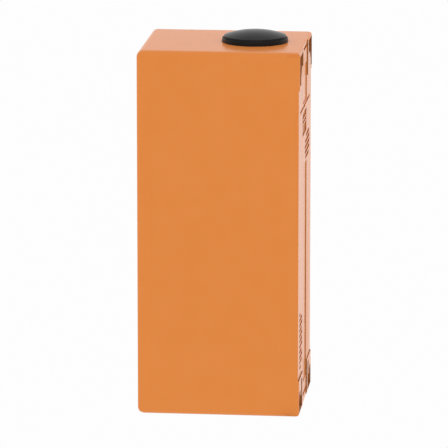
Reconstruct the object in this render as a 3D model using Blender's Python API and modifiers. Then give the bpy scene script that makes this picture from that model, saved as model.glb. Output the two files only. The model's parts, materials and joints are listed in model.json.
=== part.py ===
"""Push-to-punch ticket validator.

A cast hood with four raised corner pads slides over a chassis that is screwed to a wall or a pole.
A ticket goes into the wide slot in the front. The domed button in the top drives a stem down onto a
punch block, whose pins go through the ticket into a die, and the chads fall down a chute into a bin.
The front of the object looks along -Y, its back face is the mounting face, and +Z is up.
"""

import math

import bmesh
import bpy
from mathutils import Vector

MM = 0.001

# Fits
GAP = 0.3 * MM  # between pieces that touch or slide
ROUND_SIDES = 32
MEDIUM_SIDES = 16
SMALL_SIDES = 12

# Hood
BODY_WIDTH = 116 * MM
BODY_DEPTH = 132 * MM
BODY_HEIGHT = 300 * MM
HOOD_WALL = 3 * MM
EDGE_RADIUS = 7 * MM
FRONT_EDGE_RADIUS = 3 * MM
REAR_EDGE_RADIUS = 5 * MM
REAR_RIM_WIDTH = 5.5 * MM

# Front face
PAD_WIDTH = 38 * MM
PAD_HEIGHT = 30.5 * MM
PAD_STEP = 0.8 * MM
POCKET_DEPTH = 3.5 * MM
POCKET_WIDTH = 29 * MM
POCKET_HEIGHT = 11 * MM
POCKET_INSET = 3.2 * MM
POCKET_LEG_WIDTH = 9 * MM
POCKET_LEG_HEIGHT = 24 * MM
COUNTERBORE_DEPTH = 6.5 * MM
COUNTERBORE_MARGIN = 2 * MM
CHANNEL_WIDTH = 34 * MM
CHANNEL_DEPTH = 0.7 * MM
CHANNEL_END = 18 * MM
SIGN_FIELD_FROM_TOP = 49 * MM
SIGN_FIELD_HEIGHT = 51 * MM  # left plain between the two parts of the channel
VENT_WIDTH = 38 * MM
VENT_HEIGHT = 3 * MM
VENT_INSET = 6.2 * MM
BOSS_THICKNESS = 3.2 * MM

# Ticket path
SLOT_WIDTH = 87 * MM
SLOT_HEIGHT = 2.4 * MM
SLOT_FROM_TOP = 51.2 * MM
THROAT_DEPTH = 4.3 * MM
THROAT_MARGIN = 3.5 * MM

# Button
BUTTON_FROM_FRONT = 41.6 * MM
BUTTON_TRAVEL = 5 * MM
BEZEL_RADIUS = 26.75 * MM
BEZEL_RISE = 3.3 * MM
BEZEL_WALL = 1.35 * MM
BEZEL_CUP_DEPTH = 17 * MM
BEZEL_FLANGE_REACH = 5.5 * MM
BEZEL_FLANGE = 2.5 * MM
CAP_RIM_RISE = 5 * MM
CAP_TOP_RISE = 9.2 * MM
CAP_SKIRT = 12 * MM
CAP_WALL = 2 * MM
CAP_BOSS_RADIUS = 8 * MM
DOME_STEPS = 6
STEM_RADIUS = 5 * MM
STEM_TIP_CHAMFER = 1 * MM
BUSH_WALL = 2.2 * MM
BUSH_FLANGE = 1.5 * MM
CLIP_THICKNESS = 1.2 * MM
CLIP_REACH = 3 * MM
SPRING_WIRE = 1.5 * MM
SPRING_RADIUS = 12.5 * MM
SPRING_TURNS = 4.5

# Punch
BLOCK_WIDTH = 56 * MM
BLOCK_DEPTH = 26 * MM
BLOCK_HEIGHT = 10 * MM
SPRING_SOLID_HEIGHT = 5 * MM
ANVIL_RADIUS = 7 * MM
ANVIL_HEIGHT = 2 * MM
PIN_RADIUS = 1.5 * MM
PIN_PITCH = 6 * MM
PIN_PATTERN = ((-2, 0), (-1, 1), (0, -1), (1, 1), (2, 0))  # columns and rows of the pitch
PIN_HEIGHT_ABOVE_TICKET = 0.8 * MM
GUIDE_SPACING = 44 * MM
GUIDE_RADIUS = 4 * MM
GUIDE_HEAD_RADIUS = 6.5 * MM
GUIDE_HEAD_HEIGHT = 3.5 * MM
RETURN_WIRE = 0.9 * MM
RETURN_TURNS = 3.5

# Ticket table
TICKET_GAP = 1.6 * MM
TABLE_THICKNESS = 6.2 * MM
TABLE_REAR = 48 * MM
TABLE_SCREW_INSET = 12 * MM
COVER_THICKNESS = 3 * MM
COVER_REAR = 5 * MM
COVER_SCREW_LENGTH = 9 * MM
DIE_WIDTH = 34 * MM
DIE_DEPTH = 20 * MM
DIE_THICKNESS = 3 * MM
STOP_DEPTH = 3 * MM
STOP_RISE = 5 * MM
STOP_FOOT = 8 * MM
RAIL_WIDTH = 5 * MM

# Chassis
PLATE_THICKNESS = 4 * MM
CHEEK_THICKNESS = 2.6 * MM
CHEEK_BELOW = 12 * MM
CHEEK_ABOVE = 8 * MM
CHEEK_FLANGE = 14 * MM
POST_RADIUS = 5 * MM
POST_SIDE = 46.5 * MM
POST_FROM_END = 13 * MM
MOUNT_HOLE_RADIUS = 3.3 * MM
MOUNT_HOLE_SPACING_X = 60 * MM
MOUNT_HOLE_SPACING_Z = 160 * MM

# Chad collection
CHUTE_WIDTH = 48 * MM
CHUTE_DEPTH = 34 * MM
CHUTE_WALL = 1.5 * MM
CHUTE_LENGTH = 88 * MM
CHUTE_FLANGE = 7 * MM
CHUTE_SCREW_LENGTH = 5 * MM
BIN_WIDTH = 74 * MM
BIN_DEPTH = 104 * MM
BIN_HEIGHT = 140 * MM
BIN_WALL = 2 * MM
SHELF_THICKNESS = 2 * MM
SHELF_LIP = 6 * MM

# Screws: shank radius, shank length, head radius, head height
HOOD_SCREW = (3 * MM, 15 * MM, 5.5 * MM, 2.8 * MM)
REAR_SCREW = (2.5 * MM, 10 * MM, 4.6 * MM, 1.8 * MM)
SMALL_SCREW = (1.5 * MM, 6 * MM, 2.6 * MM, 1.2 * MM)
BEZEL_SCREW = (1.25 * MM, 4 * MM, 2.2 * MM, 1.4 * MM)
BLIND_REST = 1.5 * MM  # left in front of the back plate's rear face

# Heights and places that follow from the sizes above
FRONT_Y = -BODY_DEPTH / 2
PANEL_Y = FRONT_Y + PAD_STEP
INNER_FRONT_Y = PANEL_Y + HOOD_WALL
REAR_Y = BODY_DEPTH / 2
PLATE_FRONT_Y = REAR_Y - PLATE_THICKNESS
OPENING_HALF_X = BODY_WIDTH / 2 - REAR_RIM_WIDTH
OPENING_LOW_Z = REAR_RIM_WIDTH
OPENING_HIGH_Z = BODY_HEIGHT - REAR_RIM_WIDTH
BOSS_Y = FRONT_Y + COUNTERBORE_DEPTH + BOSS_THICKNESS
BUTTON_Y = FRONT_Y + BUTTON_FROM_FRONT
TICKET_Z = BODY_HEIGHT - SLOT_FROM_TOP
TABLE_TOP_Z = TICKET_Z - TICKET_GAP / 2
TABLE_LOW_Z = TABLE_TOP_Z - TABLE_THICKNESS
COVER_LOW_Z = TICKET_Z + TICKET_GAP / 2
COVER_TOP_Z = COVER_LOW_Z + COVER_THICKNESS
BLOCK_LOW_Z = COVER_TOP_Z + BUTTON_TRAVEL + SPRING_SOLID_HEIGHT
BLOCK_TOP_Z = BLOCK_LOW_Z + BLOCK_HEIGHT
ANVIL_LOW_Z = BLOCK_TOP_Z + GAP
ANVIL_TOP_Z = ANVIL_LOW_Z + ANVIL_HEIGHT
BEZEL_TOP_Z = BODY_HEIGHT + BEZEL_RISE
CUP_FLOOR_Z = BODY_HEIGHT - BEZEL_CUP_DEPTH
CUP_LOW_Z = CUP_FLOOR_Z - HOOD_WALL
CAP_RADIUS = BEZEL_RADIUS - BEZEL_WALL - GAP
CAP_RIM_Z = BODY_HEIGHT + CAP_RIM_RISE
CAP_TOP_Z = BODY_HEIGHT + CAP_TOP_RISE
CAP_LOW_Z = CAP_RIM_Z - CAP_SKIRT
CAP_INNER_Z = CAP_RIM_Z
TABLE_FRONT_Y = INNER_FRONT_Y + GAP + THROAT_DEPTH + GAP
CHEEK_HALF_X = OPENING_HALF_X - GAP
TABLE_HALF_X = CHEEK_HALF_X - CHEEK_THICKNESS - GAP

COLOURS = {
    "orange_paint": ((0.753, 0.246, 0.063, 1.0), 0.42, 0.0),
    "black_plastic": ((0.022, 0.022, 0.022, 1.0), 0.45, 0.0),
    "dark_plastic": ((0.05, 0.05, 0.052, 1.0), 0.55, 0.0),
    "zinc_steel": ((0.55, 0.56, 0.57, 1.0), 0.38, 1.0),
    "tool_steel": ((0.36, 0.37, 0.38, 1.0), 0.3, 1.0),
    "spring_steel": ((0.42, 0.42, 0.43, 1.0), 0.28, 1.0),
    "bronze": ((0.52, 0.33, 0.14, 1.0), 0.35, 1.0),
}


def start_scene():
    """Empties the scene and makes the two collections."""
    for found in list(bpy.data.objects):
        bpy.data.objects.remove(found)
    made = []
    for name in ("ticket_validator", "cutters"):
        collection = bpy.data.collections.new(name)
        bpy.context.scene.collection.children.link(collection)
        made.append(collection)
    return made


parts, cutters = start_scene()


def make_materials():
    """One Principled material for each finish."""
    made = {}
    for name, (colour, roughness, metallic) in COLOURS.items():
        material = bpy.data.materials.new(name)
        material.use_nodes = True
        shader = material.node_tree.nodes["Principled BSDF"]
        shader.inputs["Base Color"].default_value = colour
        shader.inputs["Roughness"].default_value = roughness
        shader.inputs["Metallic"].default_value = metallic
        material.diffuse_color = colour
        made[name] = material
    return made


materials = make_materials()


def add_object(name, mesh, finish):
    """Puts a mesh in the scene: a part if it has a finish, a hidden cutter if it has none."""
    made = bpy.data.objects.new(name, mesh)
    if finish is None:
        cutters.objects.link(made)
        made.hide_render = True
        made.display_type = "WIRE"
    else:
        parts.objects.link(made)
        mesh.materials.append(materials[finish])
    return made


def mesh_from(name, shape):
    mesh = bpy.data.meshes.new(name)
    shape.to_mesh(mesh)
    shape.free()
    return mesh


def box(name, low, high, finish=None, bevel=0.0, segments=3):
    """A block between two corners, with every edge rounded if it has a bevel."""
    low = Vector(low)
    high = Vector(high)
    shape = bmesh.new()
    bmesh.ops.create_cube(shape, size=1.0)
    bmesh.ops.scale(shape, vec=high - low, verts=shape.verts)
    made = add_object(name, mesh_from(name, shape), finish)
    made.location = (low + high) / 2
    if bevel > 0:
        add_bevel(made, bevel, segments)
    return made


def add_bevel(target, width, segments):
    rounding = target.modifiers.new("edges", "BEVEL")
    rounding.width = width
    rounding.segments = segments
    rounding.limit_method = "ANGLE"
    return rounding


def cylinder(name, start, axis, length, radius, finish=None, sides=SMALL_SIDES):
    """A round bar that starts at a point and runs along an axis."""
    shape = bmesh.new()
    bmesh.ops.create_cone(
        shape, cap_ends=True, segments=sides, radius1=radius, radius2=radius, depth=length
    )
    bmesh.ops.translate(shape, vec=(0, 0, length / 2), verts=shape.verts)
    made = add_object(name, mesh_from(name, shape), finish)
    place_along(made, start, axis)
    shade_round(made)
    return made


def place_along(target, start, axis):
    """Moves an object to a point and turns its Z axis along the given axis."""
    target.location = start
    target.rotation_mode = "QUATERNION"
    target.rotation_quaternion = Vector(axis).to_track_quat("Z", "Y")


def shade_round(target):
    target.data.shade_smooth()
    target.data.set_sharp_from_angle(angle=math.radians(35))


def turned(name, profile, start, finish, closed=False, axis=(0, 0, 1), sides=ROUND_SIDES):
    """A profile of (radius, height) pairs turned about its axis, listed down its outer side."""
    mesh = bpy.data.meshes.new(name)
    points = [(radius, 0.0, height) for radius, height in profile]
    edges = [(i, i + 1) for i in range(len(points) - 1)]
    if closed:
        edges.append((len(points) - 1, 0))
    mesh.from_pydata(points, edges, [])
    made = add_object(name, mesh, finish)
    place_along(made, start, axis)
    screw = made.modifiers.new("turn", "SCREW")
    screw.steps = sides
    screw.render_steps = sides
    screw.use_merge_vertices = True
    screw.merge_threshold = 0.00001
    screw.use_smooth_shade = True
    return made


def ring_profile(outer, inner, low, high):
    return [(outer, high), (outer, low), (inner, low), (inner, high)]


def combine(target, other, operation="DIFFERENCE"):
    change = target.modifiers.new(other.name, "BOOLEAN")
    change.operation = operation
    change.solver = "EXACT"
    change.object = other


def cut_box(target, name, low, high, bevel=0.0):
    combine(target, box(name, low, high, None, bevel))


def add_box(target, name, low, high, bevel=0.0):
    combine(target, box(name, low, high, None, bevel), "UNION")


def drill(target, name, start, axis, length, radius, sides=SMALL_SIDES):
    combine(target, cylinder(name, start, axis, length, radius, None, sides))


def screw(name, seat, axis, sizes, finish, holes=()):
    """A screw whose head sits on the seat and whose shank runs along the axis through drilled pieces."""
    shank_radius, shank_length, head_radius, head_height = sizes
    drive_radius = head_radius * 0.5
    profile = [
        (0.0, head_height),
        (head_radius * 0.75, head_height),
        (head_radius, head_height * 0.65),
        (head_radius, 0.0),
        (shank_radius, 0.0),
        (shank_radius, -shank_length),
        (0.0, -shank_length),
    ]
    outward = -Vector(axis)
    made = turned(name, profile, seat, finish, axis=outward, sides=SMALL_SIDES)
    socket = cylinder(
        name + "_socket",
        Vector(seat) + outward * head_height * 0.45,
        outward,
        head_height,
        drive_radius,
        None,
        6,
    )
    combine(made, socket)
    hole_start = Vector(seat) - Vector(axis) * 2 * GAP
    for target in holes:
        drill(
            target,
            f"{name}_hole_{target.name}",
            hole_start,
            axis,
            shank_length + 4 * GAP,
            shank_radius + GAP,
        )
    return made


def plate_screw(clamped):
    """Sizes of a small screw that goes through a sheet and ends inside the back plate."""
    shank_radius, _, head_radius, head_height = SMALL_SCREW
    return (shank_radius, clamped + PLATE_THICKNESS - BLIND_REST, head_radius, head_height)


def coil(name, centre, low, high, radius, wire, turns, finish):
    """A compression spring between two heights, with its ends wound flat."""
    points_per_turn = 12
    end_turn = 0.75
    count = int(turns * points_per_turn)
    bottom = low + wire / 2
    rise = high - low - wire
    curve = bpy.data.curves.new(name, "CURVE")
    curve.dimensions = "3D"
    curve.bevel_depth = wire / 2
    curve.bevel_resolution = 2
    curve.use_fill_caps = True
    spline = curve.splines.new("POLY")
    spline.points.add(count)
    for i in range(count + 1):
        turn = i / points_per_turn
        along = (turn - end_turn) / (turns - 2 * end_turn)
        height = bottom + rise * min(max(along, 0.0), 1.0)
        angle = 2 * math.pi * turn
        x = centre[0] + radius * math.cos(angle)
        y = centre[1] + radius * math.sin(angle)
        spline.points[i].co = (x, y, height, 1.0)
    source = bpy.data.objects.new(name + "_path", curve)
    cutters.objects.link(source)
    graph = bpy.context.evaluated_depsgraph_get()
    mesh = bpy.data.meshes.new_from_object(source.evaluated_get(graph))
    bpy.data.objects.remove(source)
    shape = bmesh.new()
    shape.from_mesh(mesh)
    bmesh.ops.remove_doubles(shape, verts=shape.verts, dist=0.00001)
    bpy.data.meshes.remove(mesh)
    made = add_object(name, mesh_from(name, shape), finish)
    made.data.shade_smooth()
    return made


def make_hood():
    """The cast hood: one shell with an open back, raised corner pads, pockets, channel and slots."""
    hood = box(
        "hood",
        (-BODY_WIDTH / 2, FRONT_Y, 0),
        (BODY_WIDTH / 2, REAR_Y, BODY_HEIGHT),
        "orange_paint",
    )
    weights = hood.data.attributes.new("bevel_weight_edge", "FLOAT", "EDGE")
    for edge in hood.data.edges:
        ends = [hood.data.vertices[i].co.y for i in edge.vertices]
        radius = EDGE_RADIUS
        if max(ends) < 0:
            radius = FRONT_EDGE_RADIUS
        elif min(ends) > 0:
            radius = REAR_EDGE_RADIUS
        weights.data[edge.index].value = radius / EDGE_RADIUS
    rounding = add_bevel(hood, EDGE_RADIUS, 4)
    rounding.limit_method = "WEIGHT"
    cut_box(
        hood,
        "hood_inside",
        (-BODY_WIDTH / 2 + HOOD_WALL, INNER_FRONT_Y, HOOD_WALL),
        (BODY_WIDTH / 2 - HOOD_WALL, REAR_Y - HOOD_WALL, BODY_HEIGHT - HOOD_WALL),
        EDGE_RADIUS - HOOD_WALL,
    )
    cut_box(
        hood,
        "hood_rear_opening",
        (-OPENING_HALF_X, REAR_Y - 2 * HOOD_WALL, OPENING_LOW_Z),
        (OPENING_HALF_X, REAR_Y + HOOD_WALL, OPENING_HIGH_Z),
    )
    shape_front(hood)
    drill(
        hood,
        "hood_button_hole",
        (0, BUTTON_Y, BODY_HEIGHT - 2 * HOOD_WALL),
        (0, 0, 1),
        4 * HOOD_WALL,
        BEZEL_RADIUS + GAP,
        ROUND_SIDES,
    )
    return hood


def shape_front(hood):
    """The relief of the front face."""
    half_gap = BODY_WIDTH / 2 - PAD_WIDTH
    far = BODY_WIDTH
    outside_y = FRONT_Y - HOOD_WALL
    cut_box(
        hood,
        "panel_band",
        (-far, outside_y, PAD_HEIGHT),
        (far, PANEL_Y, BODY_HEIGHT - PAD_HEIGHT),
    )
    cut_box(hood, "panel_centre", (-half_gap, outside_y, -HOOD_WALL), (half_gap, PANEL_Y, far * 3))
    signs_high_z = BODY_HEIGHT - SIGN_FIELD_FROM_TOP
    channel_parts = (
        ("channel_lower", CHANNEL_END, signs_high_z - SIGN_FIELD_HEIGHT),
        ("channel_upper", signs_high_z, BODY_HEIGHT - CHANNEL_END),
    )
    for name, low_z, high_z in channel_parts:
        cut_box(
            hood,
            name,
            (-CHANNEL_WIDTH / 2, outside_y, low_z),
            (CHANNEL_WIDTH / 2, PANEL_Y + CHANNEL_DEPTH, high_z),
        )
    for x_side in (-1, 1):
        for z, up in ((POST_FROM_END, 1), (BODY_HEIGHT - POST_FROM_END, -1)):
            add_corner_pocket(hood, x_side, z, up)
    for name, z in (("vent_bottom", VENT_INSET + VENT_HEIGHT / 2),
                    ("vent_top", BODY_HEIGHT - VENT_INSET + VENT_HEIGHT / 2)):
        cut_box(
            hood,
            name,
            (-VENT_WIDTH / 2, outside_y, z - VENT_HEIGHT / 2),
            (VENT_WIDTH / 2, INNER_FRONT_Y + HOOD_WALL, z + VENT_HEIGHT / 2),
        )
    cut_box(
        hood,
        "ticket_slot",
        (-SLOT_WIDTH / 2, outside_y, TICKET_Z - SLOT_HEIGHT / 2),
        (SLOT_WIDTH / 2, INNER_FRONT_Y + HOOD_WALL, TICKET_Z + SLOT_HEIGHT / 2),
    )


def add_corner_pocket(hood, x_side, z, up):
    """One corner: a boss inside the hood, the L-shaped pocket and the counterbore for its screw.

    The pocket's leg is at its outer end in the upper corners and at its inner end in the lower ones.
    """
    tag = f"{'left' if x_side < 0 else 'right'}_{'low' if up > 0 else 'high'}"
    outer_x = x_side * (BODY_WIDTH / 2 - POCKET_INSET)
    inner_x = outer_x - x_side * POCKET_WIDTH
    end_z = z - up * (POST_FROM_END - POCKET_INSET)
    pocket_low, pocket_high = sorted((end_z, end_z + up * POCKET_HEIGHT))
    left, right = sorted((outer_x, inner_x))
    counterbore = HOOD_SCREW[2] + COUNTERBORE_MARGIN
    leg_start = outer_x if up < 0 else inner_x + x_side * POCKET_LEG_WIDTH
    leg_left, leg_right = sorted((leg_start, leg_start - x_side * POCKET_LEG_WIDTH))
    leg_low, leg_high = sorted((end_z, end_z + up * POCKET_LEG_HEIGHT))
    counterbore_reach = POST_FROM_END - POCKET_INSET + counterbore
    boss_end = end_z + up * (max(POCKET_LEG_HEIGHT, counterbore_reach) + HOOD_WALL)
    boss_start = z - up * (POST_FROM_END - HOOD_WALL / 2)
    boss_x = (x_side * (BODY_WIDTH / 2 - HOOD_WALL / 2), inner_x - x_side * HOOD_WALL)
    add_box(
        hood,
        "boss_" + tag,
        (min(boss_x), PANEL_Y + PAD_STEP, min(boss_start, boss_end)),
        (max(boss_x), BOSS_Y, max(boss_start, boss_end)),
    )
    cut_box(
        hood,
        "pocket_" + tag,
        (left, FRONT_Y - HOOD_WALL, pocket_low),
        (right, FRONT_Y + POCKET_DEPTH, pocket_high),
    )
    cut_box(
        hood,
        "pocket_leg_" + tag,
        (leg_left, FRONT_Y - HOOD_WALL, leg_low),
        (leg_right, FRONT_Y + POCKET_DEPTH, leg_high),
    )
    drill(
        hood,
        "counterbore_" + tag,
        (x_side * POST_SIDE, FRONT_Y - HOOD_WALL, z),
        (0, 1, 0),
        HOOD_WALL + COUNTERBORE_DEPTH,
        counterbore,
        MEDIUM_SIDES,
    )


def make_chassis():
    """Back plate, four posts and the two cheeks that carry the ticket table."""
    plate = box(
        "back_plate",
        (-CHEEK_HALF_X, PLATE_FRONT_Y, OPENING_LOW_Z + GAP),
        (CHEEK_HALF_X, REAR_Y, OPENING_HIGH_Z - GAP),
        "zinc_steel",
    )
    for x_side in (-1, 1):
        for z_side in (-1, 1):
            drill(
                plate,
                f"mount_hole_{x_side}_{z_side}",
                (
                    x_side * MOUNT_HOLE_SPACING_X / 2,
                    PLATE_FRONT_Y - HOOD_WALL,
                    BODY_HEIGHT / 2 + z_side * MOUNT_HOLE_SPACING_Z / 2,
                ),
                (0, 1, 0),
                4 * HOOD_WALL,
                MOUNT_HOLE_RADIUS,
            )
    return plate


def make_posts(hood, plate):
    """A post in each corner from the back plate to the hood's boss, with a screw at each end."""
    front_y = BOSS_Y + GAP
    for side_name, x_side in (("left", -1), ("right", 1)):
        for end_name, z in (("lower", POST_FROM_END), ("upper", BODY_HEIGHT - POST_FROM_END)):
            tag = f"{end_name}_{side_name}"
            x = x_side * POST_SIDE
            post = cylinder(
                "post_" + tag,
                (x, front_y, z),
                (0, 1, 0),
                PLATE_FRONT_Y - GAP - front_y,
                POST_RADIUS,
                "zinc_steel",
            )
            screw(
                "hood_screw_" + tag,
                (x, FRONT_Y + COUNTERBORE_DEPTH - GAP, z),
                (0, 1, 0),
                HOOD_SCREW,
                "zinc_steel",
                (hood, post),
            )
            screw(
                "post_screw_" + tag,
                (x, REAR_Y - REAR_SCREW[3] - GAP, z),
                (0, -1, 0),
                REAR_SCREW,
                "zinc_steel",
                (plate, post),
            )
            drill(
                plate,
                "post_screw_seat_" + tag,
                (x, REAR_Y - REAR_SCREW[3] - 2 * GAP, z),
                (0, 1, 0),
                2 * HOOD_WALL,
                REAR_SCREW[2] + GAP,
            )


def make_cheek(side_name, x_side, plate, table):
    """A folded side plate, screwed to the back plate and to the table's edge."""
    outer = x_side * CHEEK_HALF_X
    inner = outer - x_side * CHEEK_THICKNESS
    low_z = TABLE_LOW_Z - CHEEK_BELOW
    high_z = COVER_TOP_Z + CHEEK_ABOVE
    rear_y = PLATE_FRONT_Y - GAP
    cheek = box(
        "cheek_" + side_name,
        (min(outer, inner), TABLE_FRONT_Y, low_z),
        (max(outer, inner), rear_y, high_z),
        "zinc_steel",
    )
    flange_x = (outer, outer - x_side * CHEEK_FLANGE)
    add_box(
        cheek,
        "cheek_flange_" + side_name,
        (min(flange_x), rear_y - CHEEK_THICKNESS, low_z),
        (max(flange_x), rear_y, high_z),
    )
    screw(
        "cheek_screw_" + side_name,
        (
            outer - x_side * (CHEEK_FLANGE - 4.5 * MM),
            rear_y - CHEEK_THICKNESS - GAP,
            (low_z + high_z) / 2,
        ),
        (0, 1, 0),
        plate_screw(CHEEK_THICKNESS),
        "zinc_steel",
        (cheek, plate),
    )
    head_radius, head_height = SMALL_SCREW[2:]
    seat_x = outer - x_side * (head_height + GAP)
    middle_z = (TABLE_LOW_Z + TABLE_TOP_Z) / 2
    front_screw_y = TABLE_FRONT_Y + TABLE_SCREW_INSET
    rear_screw_y = TABLE_REAR - TABLE_SCREW_INSET
    for end_name, y in (("front", front_screw_y), ("rear", rear_screw_y)):
        drill(
            cheek,
            f"table_screw_seat_{end_name}_{side_name}",
            (seat_x - x_side * GAP, y, middle_z),
            (x_side, 0, 0),
            2 * CHEEK_THICKNESS,
            head_radius + GAP,
        )
        screw(
            f"table_screw_{end_name}_{side_name}",
            (seat_x, y, middle_z),
            (-x_side, 0, 0),
            SMALL_SCREW,
            "zinc_steel",
            (cheek, table),
        )


def pin_places():
    """Where the punch pins stand: staggered positions of the code pattern."""
    return [(column * PIN_PITCH, BUTTON_Y + row * PIN_PITCH) for column, row in PIN_PATTERN]


def make_ticket_path():
    """Table with its side rails, die, cover and stop."""
    table = box(
        "ticket_table",
        (-TABLE_HALF_X, TABLE_FRONT_Y, TABLE_LOW_Z),
        (TABLE_HALF_X, TABLE_REAR, TABLE_TOP_Z),
        "zinc_steel",
    )
    for x_side in (-1, 1):
        rail_x = (x_side * TABLE_HALF_X, x_side * (TABLE_HALF_X - RAIL_WIDTH))
        add_box(
            table,
            f"rail_{x_side}",
            (min(rail_x), TABLE_FRONT_Y, TABLE_TOP_Z - GAP),
            (max(rail_x), COVER_REAR, COVER_LOW_Z - GAP),
        )
    die_low_z = TABLE_TOP_Z - DIE_THICKNESS
    half_die = Vector((DIE_WIDTH / 2, DIE_DEPTH / 2, 0))
    seat = half_die + Vector((GAP, GAP, 0))
    centre = Vector((0, BUTTON_Y, 0))
    cut_box(
        table,
        "die_seat",
        centre - seat + Vector((0, 0, die_low_z - GAP)),
        centre + seat + Vector((0, 0, TABLE_TOP_Z + GAP)),
    )
    ledge = half_die - Vector((2 * MM, 2 * MM, 0))
    cut_box(
        table,
        "chad_opening",
        centre - ledge + Vector((0, 0, TABLE_LOW_Z - GAP)),
        centre + ledge + Vector((0, 0, TABLE_TOP_Z)),
    )
    die = box(
        "die_plate",
        centre - half_die + Vector((0, 0, die_low_z)),
        centre + half_die + Vector((0, 0, TABLE_TOP_Z)),
        "tool_steel",
    )
    cover = box(
        "ticket_cover",
        (-TABLE_HALF_X, TABLE_FRONT_Y, COVER_LOW_Z),
        (TABLE_HALF_X, COVER_REAR, COVER_TOP_Z),
        "zinc_steel",
    )
    for i, (x, y) in enumerate(pin_places()):
        for target, low, length in (
            (die, die_low_z - GAP, DIE_THICKNESS + 2 * GAP),
            (cover, COVER_LOW_Z - GAP, COVER_THICKNESS + 2 * GAP),
        ):
            drill(
                target,
                f"pin_hole_{i}_{target.name}",
                (x, y, low),
                (0, 0, 1),
                length,
                PIN_RADIUS + GAP,
            )
    for side_name, x_side in (("left", -1), ("right", 1)):
        screw(
            "cover_screw_" + side_name,
            (
                x_side * (TABLE_HALF_X - RAIL_WIDTH / 2),
                (TABLE_FRONT_Y + COVER_REAR) / 2,
                COVER_TOP_Z + GAP,
            ),
            (0, 0, -1),
            (SMALL_SCREW[0], COVER_SCREW_LENGTH, RAIL_WIDTH / 2, SMALL_SCREW[3]),
            "zinc_steel",
            (cover, table),
        )
    return table, cover


def make_stop(table):
    """The bar that the ticket's end meets, held down by two screws through its foot."""
    front_y = COVER_REAR + GAP
    foot_y = front_y + STOP_DEPTH + STOP_FOOT
    foot_top_z = TABLE_TOP_Z + GAP + STOP_DEPTH
    half_x = SLOT_WIDTH / 2
    stop = box(
        "ticket_stop",
        (-half_x, front_y, TABLE_TOP_Z + GAP),
        (half_x, foot_y, COVER_TOP_Z + STOP_RISE),
        "tool_steel",
    )
    cut_box(
        stop,
        "stop_step",
        (-SLOT_WIDTH, front_y + STOP_DEPTH, foot_top_z),
        (SLOT_WIDTH, foot_y + STOP_DEPTH, COVER_TOP_Z + 2 * STOP_RISE),
    )
    for side_name, x_side in (("left", -1), ("right", 1)):
        screw(
            "stop_screw_" + side_name,
            (x_side * SLOT_WIDTH / 3, foot_y - STOP_FOOT / 2, foot_top_z + GAP),
            (0, 0, -1),
            SMALL_SCREW,
            "zinc_steel",
            (stop, table),
        )


def make_throat():
    """The liner behind the slot, with a lead-in that narrows to the ticket gap."""
    low_y = INNER_FRONT_Y + GAP
    high_y = low_y + THROAT_DEPTH
    half_x = SLOT_WIDTH / 2
    throat = box(
        "slot_throat",
        (-half_x - THROAT_MARGIN, low_y, TICKET_Z - SLOT_HEIGHT / 2 - THROAT_MARGIN),
        (half_x + THROAT_MARGIN, high_y, TICKET_Z + SLOT_HEIGHT / 2 + THROAT_MARGIN),
        "black_plastic",
    )
    cut_box(
        throat,
        "throat_slot",
        (-half_x, low_y - GAP, TICKET_Z - TICKET_GAP / 2),
        (half_x, high_y + GAP, TICKET_Z + TICKET_GAP / 2),
    )
    cut_box(
        throat,
        "throat_lead_in",
        (-half_x, low_y - GAP, TICKET_Z - SLOT_HEIGHT / 2),
        (half_x, low_y + THROAT_DEPTH / 2, TICKET_Z + SLOT_HEIGHT / 2),
    )


def make_punch(table, cover):
    """Punch block, its anvil and pins, the two shoulder bolts that guide it and their springs."""
    half_x = BLOCK_WIDTH / 2
    half_y = BLOCK_DEPTH / 2
    block = box(
        "punch_block",
        (-half_x, BUTTON_Y - half_y, BLOCK_LOW_Z),
        (half_x, BUTTON_Y + half_y, BLOCK_TOP_Z),
        "tool_steel",
    )
    cylinder(
        "anvil",
        (0, BUTTON_Y, ANVIL_LOW_Z),
        (0, 0, 1),
        ANVIL_HEIGHT,
        ANVIL_RADIUS,
        "tool_steel",
        MEDIUM_SIDES,
    )
    pin_low_z = COVER_LOW_Z + PIN_HEIGHT_ABOVE_TICKET
    pin_socket = BLOCK_HEIGHT / 2
    for i, (x, y) in enumerate(pin_places()):
        cylinder(
            f"punch_pin_{i + 1}",
            (x, y, pin_low_z),
            (0, 0, 1),
            BLOCK_LOW_Z + pin_socket - pin_low_z,
            PIN_RADIUS,
            "tool_steel",
        )
        drill(
            block,
            f"pin_socket_{i}",
            (x, y, BLOCK_LOW_Z - GAP),
            (0, 0, 1),
            pin_socket + 2 * GAP,
            PIN_RADIUS + GAP,
        )
    for side_name, x_side in (("left", -1), ("right", 1)):
        make_guide(side_name, x_side * GUIDE_SPACING / 2, block, table, cover)


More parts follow.
